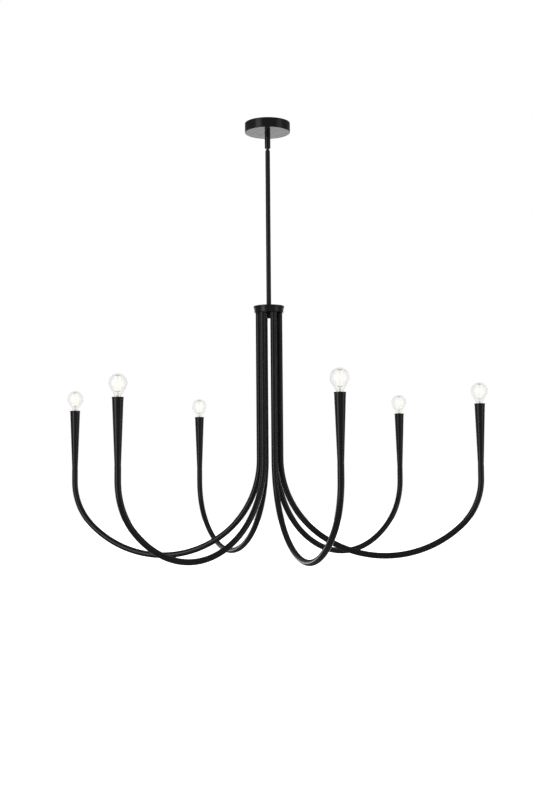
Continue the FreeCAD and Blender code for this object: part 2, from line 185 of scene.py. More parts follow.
# %% [markdown]
# ### What each kind of ray sees
# A Light Path node tells what kind of ray has arrived: straight from the camera, through glass, off a sharp
# mirror, off a soft gloss, or off a matt surface. The sky uses it to be white to the eye and through the
# bulbs, and dim in the black coat. The wall uses it too, because its full glow in the globes' sharp
# reflections would wipe out their outlines. Neither is sampled as a lamp, which leaves less grain.

# %% Sky
sky = bpy.data.worlds.new("white_sky")
bpy.context.scene.world = sky
sky.use_nodes = True
sky.cycles.sampling_method = "NONE"


def maths(tree, operation, first, *others):
    """A maths node on one output and then more outputs or numbers. Returns its own output."""
    node = tree.nodes.new("ShaderNodeMath")
    node.operation = operation
    tree.links.new(first, node.inputs[0])
    for position, other in enumerate(others, start=1):
        if isinstance(other, float):
            node.inputs[position].default_value = other
        else:
            tree.links.new(other, node.inputs[position])
    return node.outputs[0]


sky_seen_by = {
    "Is Transmission Ray": 1.0,
    "Is Diffuse Ray": 0.6,
    "Is Singular Ray": 0.7,
    "Is Glossy Ray": 0.12,
}
sky_tree = sky.node_tree
rays = sky_tree.nodes.new("ShaderNodeLightPath").outputs
brightness = rays["Is Camera Ray"]
for kind, level in sky_seen_by.items():
    dimmed = maths(sky_tree, "MULTIPLY", rays[kind], level)
    brightness = maths(sky_tree, "MAXIMUM", brightness, dimmed)
backdrop = sky_tree.nodes["Background"]
backdrop.inputs["Color"].default_value = (1, 1, 1, 1)
sky_tree.links.new(brightness, backdrop.inputs["Strength"])
print("sky levels:", sky_seen_by)

# %% Dim the wall in sharp reflections
wall_glow_mirrored = 0.7
wall_glow_through_glass = 1.0
wall_tree = wall_paint.node_tree
rays = wall_tree.nodes.new("ShaderNodeLightPath").outputs
mirrored = maths(wall_tree, "MULTIPLY_ADD", rays["Is Singular Ray"],
                 wall_glow_mirrored - wall_glow, wall_glow)
passed = maths(wall_tree, "MULTIPLY_ADD", rays["Is Transmission Ray"],
               wall_glow_through_glass - wall_glow_mirrored, mirrored)
wall_tree.links.new(passed, wall_tree.nodes["Principled BSDF"].inputs["Emission Strength"])
print("wall glow:", wall_glow, "and", wall_glow_mirrored, "in sharp reflections")

# %% [markdown]
# ## Finishes
# Every finish is a small node tree on the principled shader. Object coordinates feed the noises, so a
# pattern stays on its piece when the piece moves. One helper makes the tree's start, and the others add what
# most finishes need: a soft noise, a value or a colour that wanders with it, and a fine relief.

# %% Helpers for finishes
PATTERN_LOW = 0.3
PATTERN_HIGH = 0.7
TONE_LOW = 0.35
TONE_HIGH = 0.65


def new_finish(name):
    """A material with a principled shader, and the object coordinates that its patterns read."""
    finish = bpy.data.materials.new(name)
    finish.use_nodes = True
    tree = finish.node_tree
    place = tree.nodes.new("ShaderNodeTexCoord").outputs["Object"]
    return finish, tree, tree.nodes["Principled BSDF"], place


def cloudy(tree, place, scale, detail=3.0):
    """A soft noise with this many lumps to the metre."""
    noise = tree.nodes.new("ShaderNodeTexNoise")
    noise.inputs["Scale"].default_value = scale
    noise.inputs["Detail"].default_value = detail
    tree.links.new(place, noise.inputs["Vector"])
    return noise.outputs["Fac"]


def wander(tree, pattern, low, high, socket):
    """Drives a shader's socket between two values by a pattern."""
    spread = tree.nodes.new("ShaderNodeMapRange")
    spread.inputs["From Min"].default_value = PATTERN_LOW
    spread.inputs["From Max"].default_value = PATTERN_HIGH
    spread.inputs["To Min"].default_value = low
    spread.inputs["To Max"].default_value = high
    tree.links.new(pattern, spread.inputs["Value"])
    tree.links.new(spread.outputs["Result"], socket)


def two_tone(tree, pattern, dark, light, socket):
    """Drives a colour between two tones by a pattern."""
    ramp = tree.nodes.new("ShaderNodeValToRGB")
    ramp.color_ramp.elements[0].position = TONE_LOW
    ramp.color_ramp.elements[0].color = (*dark, 1)
    ramp.color_ramp.elements[1].position = TONE_HIGH
    ramp.color_ramp.elements[1].color = (*light, 1)
    tree.links.new(pattern, ramp.inputs["Fac"])
    tree.links.new(ramp.outputs["Color"], socket)


def relief(tree, pattern, height, strength, shader):
    """Gives a shader a fine relief of this height in metres."""
    bump = tree.nodes.new("ShaderNodeBump")
    bump.inputs["Distance"].default_value = height
    bump.inputs["Strength"].default_value = strength
    tree.links.new(pattern, bump.inputs["Height"])
    tree.links.new(bump.outputs["Normal"], shader.inputs["Normal"])


print("noise from", PATTERN_LOW, "to", PATTERN_HIGH, "covers a finish's whole range")


# %% [markdown]
# ### Satin black powder coat
# Powder coat is sprayed on dry and melts in an oven. It never quite levels, so it keeps a faint orange peel
# about a millimetre across, and its gloss and depth of black drift slightly from place to place. A plain
# black would do from afar, but close up it would look like a hole in the picture.


# %% Black powder coat
def powder_coat():
    """Satin black with a faint orange peel."""
    finish, tree, shader, place = new_finish("black_powder_coat")
    two_tone(tree, cloudy(tree, place, 24), (0.0080, 0.0080, 0.0085), (0.0110, 0.0108, 0.0106),
             shader.inputs["Base Color"])
    wander(tree, cloudy(tree, place, 70), 0.20, 0.25, shader.inputs["Roughness"])
    relief(tree, cloudy(tree, place, 850, 0.0), 0.00002, 0.15, shader)
    return finish


black = powder_coat()
print("finish:", black.name)

# %% [markdown]
# ### Plated and plain metals
# The hidden hardware is zinc plated steel: a light grey with soft cloudy patches and a fine grain. The
# bulbs' caps are nickel, smoother and warmer. The wires that hold the light strips are a dull brown nickel
# iron, and the leads in the glass stem are coppered. One function makes them all from two tones and a gloss
# range.


# %% Metals
def plated(name, dark, light, smooth, rough, grain_height):
    """A metal whose tone and gloss wander, with a fine grain."""
    finish, tree, shader, place = new_finish(name)
    shader.inputs["Metallic"].default_value = 1.0
    two_tone(tree, cloudy(tree, place, 160), dark, light, shader.inputs["Base Color"])
    wander(tree, cloudy(tree, place, 420), smooth, rough, shader.inputs["Roughness"])
    relief(tree, cloudy(tree, place, 2600, 4.0), grain_height, 0.4, shader)
    return finish


zinc = plated("zinc_plate", (0.50, 0.51, 0.52), (0.66, 0.66, 0.64), 0.28, 0.44, 0.00001)
nickel = plated("nickel_plate", (0.62, 0.59, 0.54), (0.76, 0.73, 0.68), 0.16, 0.28, 0.000006)
wire_metal = plated("lead_wire", (0.34, 0.33, 0.27), (0.48, 0.46, 0.38), 0.25, 0.4, 0.000004)
copper = plated("copper_wire", (0.52, 0.38, 0.24), (0.68, 0.50, 0.33), 0.22, 0.36, 0.000004)
print("metals:", ", ".join(metal.name for metal in (zinc, nickel, wire_metal, copper)))

# %% [markdown]
# ### Plastics and paints
# The lampholders are moulded phenolic, a hard dark plastic with a faint marbling. The swivel's rings are
# raw nylon. The leads have smooth sleeves. The earth screw is painted green. The bead on top of the light
# strips is a chalky cement. They differ in tone and gloss, not in kind, so one function makes them all.


# %% Plastics and paints
def moulded(name, dark, light, smooth, rough, grain_height):
    """A plastic, paint or cement with a faint marbling and a fine grain."""
    finish, tree, shader, place = new_finish(name)
    two_tone(tree, cloudy(tree, place, 210, 5.0), dark, light, shader.inputs["Base Color"])
    wander(tree, cloudy(tree, place, 330), smooth, rough, shader.inputs["Roughness"])
    relief(tree, cloudy(tree, place, 3200, 2.0), grain_height, 0.35, shader)
    return finish


phenolic = moulded("black_phenolic", (0.012, 0.011, 0.010), (0.024, 0.021, 0.019), 0.28, 0.42, 0.00001)
nylon = moulded("raw_nylon", (0.70, 0.67, 0.60), (0.80, 0.78, 0.71), 0.40, 0.52, 0.00001)
sleeve = moulded("wire_sleeve", (0.62, 0.61, 0.57), (0.72, 0.71, 0.67), 0.36, 0.48, 0.00001)
earth_green = moulded("earth_green", (0.03, 0.24, 0.08), (0.05, 0.34, 0.12), 0.25, 0.38, 0.00001)
cement = moulded("strip_cement", (0.66, 0.57, 0.42), (0.80, 0.71, 0.55), 0.45, 0.60, 0.00002)
print("plastics:", ", ".join(kind.name for kind in (phenolic, nylon, sleeve, earth_green, cement)))

# %% [markdown]
# ### Clear glass
# A globe is a real shell with an inner and an outer face, so the shader's glass bends and reflects light as
# the real one does. Its surface colour is nearly white where the eye meets it square on and turns grey where
# it slants away, so the outline darkens. That grey is painted shade, for the light that a slanting glass face
# reflects away. The stem inside is solid and faintly brown, so its colour is in its volume.

# %% Glass
GLASS_IOR = 1.5


def smooth_glass(name):
    """Clear glass without any tint."""
    finish, tree, shader, place = new_finish(name)
    shader.inputs["Base Color"].default_value = (1, 1, 1, 1)
    shader.inputs["Roughness"].default_value = 0.0
    shader.inputs["Transmission Weight"].default_value = 1.0
    shader.inputs["IOR"].default_value = GLASS_IOR
    return finish, tree, shader


def blown_glass(square_on, share_with_painted_shade_at_edge):
    """Clear glass that passes these shares of the light, seen square on and at its outline; the drop there is
    painted shade.
    """
    finish, tree, shader = smooth_glass("blown_glass")
    slant = tree.nodes.new("ShaderNodeLayerWeight")
    slant.inputs["Blend"].default_value = 0.5
    # Painted shade: the colour turns grey towards the outline, where slanting glass reflects light away.
    grey = tree.nodes.new("ShaderNodeMapRange")
    grey.inputs["To Min"].default_value = square_on
    grey.inputs["To Max"].default_value = share_with_painted_shade_at_edge
    tree.links.new(slant.outputs["Facing"], grey.inputs["Value"])
    tree.links.new(grey.outputs["Result"], shader.inputs["Base Color"])
    return finish


def tinted_glass(tone, density):
    """Solid glass whose colour deepens with its thickness."""
    finish, tree, shader = smooth_glass("stem_glass")
    tint = tree.nodes.new("ShaderNodeVolumeAbsorption")
    tint.inputs["Color"].default_value = (*tone, 1)
    tint.inputs["Density"].default_value = density
    tree.links.new(tint.outputs["Volume"], tree.nodes["Material Output"].inputs["Volume"])
    return finish


# Nearly white square on; the grey at the outline is painted shade.
glass = blown_glass(0.985, 0.74)
stem_glass = tinted_glass((0.86, 0.70, 0.54), 150)
print("glasses:", glass.name, "and", stem_glass.name)


# %% [markdown]
# ### Lit strips
# A light strip is coated with a yellow powder that glows cream white. A strong glow would burn out to plain
# white, so the glow is set low enough to keep the cream, and varies a little with the powder.

# %% Light strips
def lit_strip():
    """Yellow powder that glows cream white."""
    finish, tree, shader, place = new_finish("lit_strip")
    shader.inputs["Base Color"].default_value = (0.75, 0.70, 0.53, 1)
    shader.inputs["Roughness"].default_value = 0.6
    two_tone(tree, cloudy(tree, place, 900), (1.0, 0.970, 0.86), (1.0, 0.985, 0.92),
             shader.inputs["Emission Color"])
    shader.inputs["Emission Strength"].default_value = 0.57
    finish.cycles.emission_sampling = "NONE"
    return finish


strip_light = lit_strip()
print("finishes made:", len(bpy.data.materials))

# %% [markdown]
# ### Finishes on the CAD model's own pieces
# The hidden fittings have the right shape already: hex nuts, a crossbar, nylon rings, leads. They stay as the
# CAD model has them, and only get a finish in their material slot.

# %% Finish the hidden fittings
kept_pieces = {
    zinc: ["hub_nipple", "hub_nuts", "arm_lock_nuts", "nipple_nuts", "canopy_nipple", "mounting_bracket"],
    earth_green: ["ground_screw"],
    nylon: ["ball_seat", "friction_ring"],
    sleeve: ["supply_lead", "rod_lead"] + [f"arm_lead_{k}" for k in ARMS],
}
for finish, names in kept_pieces.items():
    for name in names:
        node = frame["nodes"][name]
        node.data.materials.clear()
        node.data.materials.append(finish)
print("CAD pieces with a new finish:", sum(len(names) for names in kept_pieces.values()))

# %% [markdown]
# ## Workshop tools
# Loading leaves the CAD pieces selected, and an operator acts on all that is selected. So every job starts
# with nothing selected, and in edit mode the faces, edges or corners to work on are picked by their place.
# Places are compared with a small allowance, a fiftieth of a millimetre, because sums are never quite exact.

# %% Picking helpers
TINY = 0.00002
SAME = TINY / 10


def start_clean():
    """Leaves edit mode, with nothing selected."""
    if bpy.context.object and bpy.context.object.mode != "OBJECT":
        bpy.ops.object.mode_set(mode="OBJECT")
    bpy.ops.object.select_all(action="DESELECT")


def pick(kind, test):
    """In edit mode, selects only the verts, edges or faces whose corners all pass the test."""
    bpy.ops.mesh.select_mode(type={"verts": "VERT", "edges": "EDGE", "faces": "FACE"}[kind])
    bpy.ops.mesh.select_all(action="DESELECT")
    mesh = bmesh.from_edit_mesh(bpy.context.edit_object.data)
    for part in getattr(mesh, kind):
        corners = [part] if kind == "verts" else part.verts
        if all(test(corner.co) for corner in corners):
            part.select_set(True)
    bmesh.update_edit_mesh(bpy.context.edit_object.data)


def push(x, y, z):
    """Extrudes what is selected and moves it."""
    bpy.ops.mesh.extrude_region_move(TRANSFORM_OT_translate={"value": (x, y, z)})


def make_active(piece):
    """Selects one piece alone and makes it the one that operators work on."""
    start_clean()
    piece.select_set(True)
    bpy.context.view_layer.objects.active = piece


print("places closer than", TINY / MM, "mm count as the same")

# %% [markdown]
# ### Soft edges
# No real edge is perfectly sharp, and a sharp edge catches no light. So each piece gets its edges rounded by
# a bevel that works by angle. The shading is then smooth, with weighted normals that keep the flats flat.

# %% Finishing helpers
SHARP_ANGLE = 28
SMOOTH_ANGLE = 40


def use_modifier(piece, kind, **settings):
    """Adds a modifier to a piece and applies it."""
    make_active(piece)
    modifier = piece.modifiers.new(kind.lower(), kind)
    for name, value in settings.items():
        setattr(modifier, name, value)
    bpy.ops.object.modifier_apply(modifier=modifier.name)


def soften(piece, width, segments=3, sharper_than=SHARP_ANGLE):
    """Rounds a piece's sharp edges, then shades it so that its flats stay flat."""
    if width > 0:
        use_modifier(piece, "BEVEL", width=width, segments=segments, limit_method="ANGLE",
                     angle_limit=math.radians(sharper_than))
    make_active(piece)
    bpy.ops.object.shade_smooth_by_angle(angle=math.radians(SMOOTH_ANGLE))
    use_modifier(piece, "WEIGHTED_NORMAL", keep_sharp=True, weight=80)


def settle(piece, finish, body, slot, *nodes):
    """Gives a finished piece its finish, its body and the CAD pieces that it stands for."""
    piece.data.materials.clear()
    piece.data.materials.append(finish)
    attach(piece, body)
    if nodes:
        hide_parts(*nodes)
    report(piece)


def report(piece):
    """Prints a piece's name and its counts."""
    print(f"{piece.name}: {len(piece.data.vertices)} corners, {len(piece.data.polygons)} faces")


print("edges sharper than", SHARP_ANGLE, "degrees get rounded")

# %% [markdown]
# ### A lathe
# Most of this light is round about an upright line, so most of its pieces are turned, as on a lathe. The
# cut section is drawn beside the axis, one point after the other, and spun. Where the section closes on
# itself or touches the axis, the doubled corners are merged, and the faces are turned outwards. The Screw
# modifier could do the same, but a spin leaves plain mesh to work on.


# %% Lathe and sections
def single_point(name, x, y, z):
    """A new piece with one corner, left in edit mode with that corner selected."""
    start_clean()
    bpy.ops.mesh.primitive_plane_add(size=MM)
    piece = bpy.context.object
    piece.name = name
    piece.data.name = name
    bpy.ops.object.mode_set(mode="EDIT")
    bpy.ops.mesh.select_mode(type="VERT")
    bpy.ops.mesh.select_all(action="SELECT")
    bpy.ops.mesh.merge(type="CENTER")
    bpy.ops.transform.translate(value=(x, y, z))
    return piece


def lathe(name, section, steps=96):
    """A turned piece. The section is a list of (radius, height) points that runs round the cut metal."""
    piece = single_point(name, section[0][0], 0, section[0][1])
    for here, there in zip(section, section[1:]):
        push(there[0] - here[0], 0, there[1] - here[1])
    bpy.ops.mesh.select_all(action="SELECT")
    bpy.ops.mesh.spin(steps=steps, angle=2 * math.pi, center=(0, 0, 0), axis=(0, 0, 1))
    bpy.ops.mesh.select_all(action="SELECT")
    bpy.ops.mesh.remove_doubles(threshold=SAME)
    bpy.ops.mesh.normals_make_consistent(inside=False)
    bpy.ops.object.mode_set(mode="OBJECT")
    report(piece)
    return piece


def arc(radius, height, size, first, last, count):
    """Points on an arc of this size about (radius, height), between two angles in degrees from outwards."""
    turns = [math.radians(first + (last - first) * k / count) for k in range(count + 1)]
    return [(radius + size * math.cos(t), height + size * math.sin(t)) for t in turns]


def closed(section):
    """The same section, back to its first point."""
    return section + section[:1]


# %% [markdown]
# ## Canopy
# A shallow pan, pressed from sheet, that hides the ceiling box. It could be spun, but pressing is closer to
# the real thing: a disc gets a wall, the corner between them is rounded, the middle is punched out, and
# then the sheet gets its thickness.

# %% Press the canopy
canopy_low, canopy_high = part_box("canopy")
canopy_radius = canopy_high.x
canopy_depth = canopy_high.z - canopy_low.z
sheet = 1.2 * MM
corner_round = 1.6 * MM
nipple_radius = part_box("canopy_nipple")[1].x
punched_radius = nipple_radius + 0.2 * MM
flat_edge = 3 * MM

start_clean()
bpy.ops.mesh.primitive_circle_add(vertices=144, radius=canopy_radius, fill_type="NGON")
canopy_pan = bpy.context.object
canopy_pan.name = "canopy_pan"
bpy.ops.object.mode_set(mode="EDIT")
bpy.ops.transform.translate(value=(0, 0, canopy_low.z))
pick("edges", lambda p: True)
push(0, 0, canopy_depth)
pick("faces", lambda p: p.z < canopy_low.z + TINY)
bpy.ops.mesh.inset(thickness=flat_edge)
bpy.ops.mesh.inset(thickness=canopy_radius - flat_edge - punched_radius)
bpy.ops.mesh.delete(type="FACE")
pick("edges", lambda p: p.z < canopy_low.z + TINY and p.xy.length > canopy_radius - TINY)
bpy.ops.mesh.bevel(offset=corner_round, segments=6, affect="EDGES")
bpy.ops.mesh.select_all(action="SELECT")
bpy.ops.mesh.normals_make_consistent(inside=False)
bpy.ops.object.mode_set(mode="OBJECT")
use_modifier(canopy_pan, "SOLIDIFY", thickness=sheet, offset=-1, use_even_offset=True)
soften(canopy_pan, 0.25 * MM, 2)
settle(canopy_pan, black, "ceiling_mount", "black_metal", "canopy")

# %% [markdown]
# ## Swivel
# Under the canopy hangs a slim barrel with a ball in its lower end. The barrel is bored from above, and the
# bore closes in below the ball like a cup, so that the ball can't fall out. Its foot is chamfered. It is
# turned, with the closing of the bore as an arc about the ball's middle.

# %% Turn the swivel's barrel
barrel_low, barrel_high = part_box("swivel_housing")
barrel_radius = barrel_high.x
barrel_bore = nipple_radius + 0.05 * MM
mouth_z = barrel_low.z
ball_rise = 3.2 * MM
ball_z = mouth_z + ball_rise
mouth_radius = math.sqrt(barrel_bore ** 2 - ball_rise ** 2)
mouth_lip = 1.23 * MM
foot_chamfer = 3 * MM
seat_angle = math.degrees(math.asin(ball_rise / barrel_bore))
barrel_section = [
    (barrel_bore, barrel_high.z),
    *arc(0, ball_z, barrel_bore, 0, -seat_angle, 5),
    (mouth_radius + mouth_lip, mouth_z),
    (barrel_radius, mouth_z + foot_chamfer),
    (barrel_radius, barrel_high.z),
]
barrel = lathe("swivel_barrel", closed(barrel_section), 72)
soften(barrel, 0.25 * MM)
settle(barrel, black, "ceiling_mount", "black_metal", "swivel_housing")

# %% [markdown]
# ### Ball and collar
# The ball, its neck, a small collar and a spigot that screws into the rod are one turned piece, drilled
# through for the leads. Of all this only the neck and the collar show, in the gap above the rod. It is
# turned whole, because the gap opens on one side when the swivel tilts.

# %% Turn the ball and its collar
stud_low, stud_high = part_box("ball_stud")
ball_radius = 5.2 * MM
ball_top = stud_high.z
stem_radius = 2.4 * MM
rod_low, rod_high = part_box("stem_rod")
collar_radius = 5.0 * MM
collar_drop = 6.2 * MM
neck_drop = 4.6 * MM
spigot_radius = rod_high.x - 1.25 * MM
wire_bore = 1.6 * MM
ball_last = math.degrees(math.asin((ball_top - ball_z) / ball_radius))
ball_first = -math.degrees(math.acos(stem_radius / ball_radius))
ball_section = [
    (wire_bore, stud_low.z),
    (spigot_radius, stud_low.z),
    (spigot_radius, rod_high.z),
    (collar_radius, rod_high.z),
    (collar_radius, ball_z - collar_drop),
    (stem_radius, ball_z - neck_drop),
    *arc(0, ball_z, ball_radius, ball_first, ball_last, 16),
    (wire_bore, ball_top),
]
ball_and_collar = lathe("swivel_ball", closed(ball_section), 64)
soften(ball_and_collar, 0.2 * MM, 2)
settle(ball_and_collar, black, "hanging_frame", "black_metal", "ball_stud")

# %% [markdown]
# ## Rod and hub
# The rod is half-inch pipe, cut square and tumbled, which rounds its ends. It hangs from the ball's spigot
# and ends on the hub. It is turned from the section of its wall, so it is hollow like the real one.

# %% Turn the rod
rod_radius = rod_high.x
rod_bore = rod_radius - 1.2 * MM
rod_section = [
    (rod_bore, rod_low.z),
    (rod_radius, rod_low.z),
    (rod_radius, rod_high.z),
    (rod_bore, rod_high.z),
]
hanging_rod = lathe("hanging_rod", closed(rod_section), 64)
soften(hanging_rod, 0.5 * MM)
settle(hanging_rod, black, "hanging_frame", "black_metal", "stem_rod")

# %% [markdown]
# ### Lid
# The hub is a small drum with a lid. The lid has a short skirt that stands a little proud of the drum, so a
# fine line of shadow shows under it. It could be pressed like the canopy, but a section that steps over the
# drum is simpler to draw, and its edges are rounded afterwards.

# %% Turn the hub's lid
lid_low, lid_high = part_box("hub_lid")
drum_low, drum_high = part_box("hub_drum")
hub_hole = spigot_radius + 0.2 * MM
lid_plate = lid_high.z - drum_high.z
lid_bore = drum_high.x + 0.15 * MM
lid_section = [
    (hub_hole, lid_high.z - lid_plate),
    (lid_bore, lid_high.z - lid_plate),
    (lid_bore, lid_low.z),
    (lid_high.x, lid_low.z),
    (lid_high.x, lid_high.z),
    (hub_hole, lid_high.z),
]
lid = lathe("hub_cap_plate", closed(lid_section), 128)
soften(lid, 0.6 * MM, 4)
settle(lid, black, "hanging_frame", "black_metal", "hub_lid")

# %% [markdown]
# ### Drum
# The drum narrows slightly downwards. Its floor has six holes for the arms. They are drilled with a boolean:
# round cutters stand where the arms' own axes pass through the floor, which the joints give.

# %% Turn the hub's drum
drum_taper = 1.1 * MM
drum_wall = 1.3 * MM
floor_top = drum_low.z + 2.5 * MM
drum_base_radius = drum_high.x - drum_taper
drum_section = [
    (hub_hole, drum_low.z),
    (drum_base_radius, drum_low.z),
    (drum_high.x, drum_high.z),
    (drum_high.x - drum_wall, drum_high.z),
    (drum_base_radius - drum_wall, floor_top),
    (hub_hole, floor_top),
]
drum = lathe("hub_arm_drum", closed(drum_section), 128)

# %% Drill the drum's floor
arm_axis = {j["child"]: Vector(j["pos_m"]) for j in frame["joints"] if j["name"].endswith("_swing")}
ferrule_radius = 4.4 * MM
hole_radius = ferrule_radius + 0.05 * MM
for axis in arm_axis.values():
    start_clean()
    bpy.ops.mesh.primitive_cylinder_add(vertices=40, radius=hole_radius, depth=8 * MM,
                                        location=(axis.x, axis.y, drum_low.z + 1.2 * MM))
    drill = bpy.context.object
    use_modifier(drum, "BOOLEAN", object=drill, operation="DIFFERENCE", solver="EXACT")
    bpy.data.objects.remove(drill)
soften(drum, 0.7 * MM, 3)
settle(drum, black, "hanging_frame", "black_metal", "hub_drum")

# %% [markdown]
# ### Cap nut
# A domed nut closes the hub from below, between the arms. It is a blind nut: the thread ends inside it. Its
# dome is drawn as a flattened quarter circle, and its hole is left open at the top.

# %% Turn the cap nut under the hub
cap_low, cap_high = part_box("finial")
cap_radius = cap_high.x
dome_height = 5 * MM
thread_bore = spigot_radius + 0.05 * MM
thread_end = cap_high.z - 9.5 * MM
dome = []
for slant in range(81, 0, -9):
    angle = math.radians(slant)
    dome.append((cap_radius * math.cos(angle), cap_low.z + dome_height - dome_height * math.sin(angle)))
cap_section = [
    (0, cap_low.z),
    *dome,
    (cap_radius, cap_low.z + dome_height),
    (cap_radius, cap_high.z),
    (thread_bore, cap_high.z),
    (thread_bore, thread_end),
    (0, thread_end),
]
cap_nut = lathe("hub_cap_nut", closed(cap_section), 72)
soften(cap_nut, 0.4 * MM)
settle(cap_nut, black, "hanging_frame", "black_metal", "finial")

# %% [markdown]
# ## Arms
# An arm is a 16 mm pipe from a bender. It runs straight down from the hub, through three bends of different
# sizes, and straight up again. A curve with a round bevel would look much the same, but the model is made as
# the pipe is: a round blank gets its ferrule, its open end is drawn down, and each bend is a spin about that
# bend's own centre, so every bend is a true arc. One arm is made in its own plane and copied later to the
# six places.

# %% Bend one arm
tube_low, tube_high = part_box("arm_tube_1")
tube_radius = 8 * MM
tube_top = drum_low.z - 0.3 * MM
straight_run = 392.9 * MM
bends = [(253.0 * MM, 54.3), (292.8 * MM, 79.6), (165.7 * MM, 46.1)]
outer_leg = 37.8 * MM
degrees_a_step = 1.9

start_clean()
bpy.ops.mesh.primitive_circle_add(vertices=48, radius=tube_radius, fill_type="NGON")
arm_blank = bpy.context.object
arm_blank.name = "arm_blank"
bpy.ops.object.mode_set(mode="EDIT")
bpy.ops.transform.translate(value=(0, 0, tube_top))
pick("faces", lambda p: True)
bpy.ops.mesh.inset(thickness=tube_radius - ferrule_radius)
push(0, 0, tube_high.z - tube_top)
pick("edges", lambda p: abs(p.z - tube_top) < TINY and p.xy.length > tube_radius - TINY)
bend_start = drum_low.z - straight_run
push(0, 0, bend_start - tube_top)
heading = 0.0
end = Vector((0, 0, bend_start))
for radius, turn in bends:
    inward = Vector((math.cos(heading), 0, math.sin(heading)))
    centre = end + inward * radius
    bpy.ops.mesh.spin(steps=round(turn / degrees_a_step), angle=math.radians(turn), center=centre,
                      axis=(0, 1, 0))
    heading += math.radians(turn)
    end = centre - Vector((math.cos(heading), 0, math.sin(heading))) * radius
push(0, 0, outer_leg)
bpy.ops.mesh.edge_face_add()
bpy.ops.mesh.select_all(action="SELECT")
bpy.ops.mesh.normals_make_consistent(inside=False)
bpy.ops.object.mode_set(mode="OBJECT")
soften(arm_blank, 0.5 * MM)
reach = max(corner.co.x for corner in arm_blank.data.vertices) - tube_radius
lowest = min(corner.co.z for corner in arm_blank.data.vertices)
print(f"arm reaches {reach:.4f} m and down to {lowest:.4f}, the CAD pipe to {tube_low.z:.4f}")

# %% [markdown]
# ### Candle cups
# A cup is a thin tapered sleeve that stands on the end of its arm and hides the lampholder. Its rim has a
# narrow band, a hair thicker than the taper below it. It is turned, with a floor that the lampholder's
# threaded leg goes through.

# %% Turn one cup
cup_low, cup_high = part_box("candle_cup_1")
rim_radius = 14 * MM
lip_step = 0.35 * MM
lip_height = 3.6 * MM
cup_wall = 1.0 * MM
cup_floor = 2.0 * MM
cup_foot_radius = tube_radius - 0.2 * MM
leg_hole = 4.5 * MM


def cup_side(z):
    """The outside of the cup's taper at a height."""
    share = (z - cup_low.z) / (cup_high.z - cup_low.z)
    return cup_foot_radius + (rim_radius - lip_step - cup_foot_radius) * share


lip_low = cup_high.z - lip_height
cup_section = [
    (leg_hole, cup_low.z),
    (cup_side(cup_low.z), cup_low.z),
    (cup_side(lip_low), lip_low),
    (rim_radius, lip_low),
    (rim_radius, cup_high.z),
    (cup_side(cup_high.z) - cup_wall, cup_high.z),
    (cup_side(cup_low.z + cup_floor) - cup_wall, cup_low.z + cup_floor),
    (leg_hole, cup_low.z + cup_floor),
]
cup_blank = lathe("cup_blank", closed(cup_section), 96)
soften(cup_blank, 0.15 * MM)

# %% [markdown]
# ### Lampholder
# Inside the cup, a black moulded holder stands on a threaded leg. From above, its rim shows round the bulb.
# It has one shallow groove below the rim, and a hollow for the bulb's cap with a contact at the bottom.

# %% Turn one lampholder
holder_low, holder_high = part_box("lampholder_1")
holder_base = holder_high.z - 38 * MM
holder_radius = cup_side(holder_base) - cup_wall - 1.05 * MM
groove_radius = holder_radius - 0.6 * MM
socket_radius = 6.1 * MM
socket_floor = holder_high.z - 24 * MM
socket_floor_under = socket_floor - 2 * MM
contact_radius = 1.5 * MM
contact_top = socket_floor + MM
leg_radius = 4.3 * MM
leg_bore = 2.4 * MM
holder_section = [
    (leg_bore, holder_low.z), (leg_radius, holder_low.z),
    (leg_radius, holder_base), (holder_radius, holder_base),
    (holder_radius, holder_high.z - 7 * MM), (groove_radius, holder_high.z - 6.4 * MM),
    (groove_radius, holder_high.z - 4.4 * MM), (holder_radius, holder_high.z - 3.8 * MM),
    (holder_radius, holder_high.z), (socket_radius, holder_high.z),
    (socket_radius, socket_floor), (contact_radius, socket_floor),
    (contact_radius, contact_top), (0, contact_top),
    (0, socket_floor_under), (leg_bore, socket_floor_under),
]
holder_blank = lathe("holder_blank", closed(holder_section), 64)
soften(holder_blank, 0.3 * MM, 2)

# %% [markdown]
# ## Bulbs
# The globe is a 45 mm ball drawn down into a cone and a short neck. It could be turned, but here it is blown
# from a ball: the bottom is cut off where the cone leaves it, the open edge is drawn down and in, the corner
# at the neck is rounded, and the skin gets its thickness inwards. The ball has many faces, because glass
# shows each one in its reflections.

# %% Blow one globe
globe_low, globe_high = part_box("bulb_glass_1")
globe_radius = 22.5 * MM
globe_centre = globe_high.z - globe_radius
taper = math.radians(30)
neck_radius = 7.2 * MM
neck_round = 5 * MM
glass_wall = 0.8 * MM
shoulder_radius = globe_radius * math.cos(taper)
shoulder_z = globe_centre - globe_radius * math.sin(taper)
neck_top = shoulder_z - (shoulder_radius - neck_radius) / math.tan(taper)

start_clean()
bpy.ops.mesh.primitive_uv_sphere_add(segments=96, ring_count=64, radius=globe_radius)
globe_blank = bpy.context.object
globe_blank.name = "globe_blank"
bpy.ops.object.mode_set(mode="EDIT")
bpy.ops.transform.translate(value=(0, 0, globe_centre))
bpy.ops.mesh.select_all(action="SELECT")
bpy.ops.mesh.bisect(plane_co=(0, 0, shoulder_z), plane_no=(0, 0, 1), clear_inner=True)
pick("edges", lambda p: p.z < shoulder_z + TINY)
push(0, 0, neck_top - shoulder_z)
narrow = neck_radius / shoulder_radius
bpy.ops.transform.resize(value=(narrow, narrow, 1), center_override=(0, 0, neck_top))
push(0, 0, globe_low.z - neck_top)
pick("edges", lambda p: abs(p.z - neck_top) < TINY)
bpy.ops.mesh.bevel(offset=neck_round, segments=8, affect="EDGES", clamp_overlap=True)
bpy.ops.mesh.select_all(action="SELECT")
bpy.ops.mesh.remove_doubles(threshold=SAME)
bpy.ops.mesh.normals_make_consistent(inside=False)
bpy.ops.object.mode_set(mode="OBJECT")
use_modifier(globe_blank, "SOLIDIFY", thickness=glass_wall, offset=-1, use_even_offset=True)
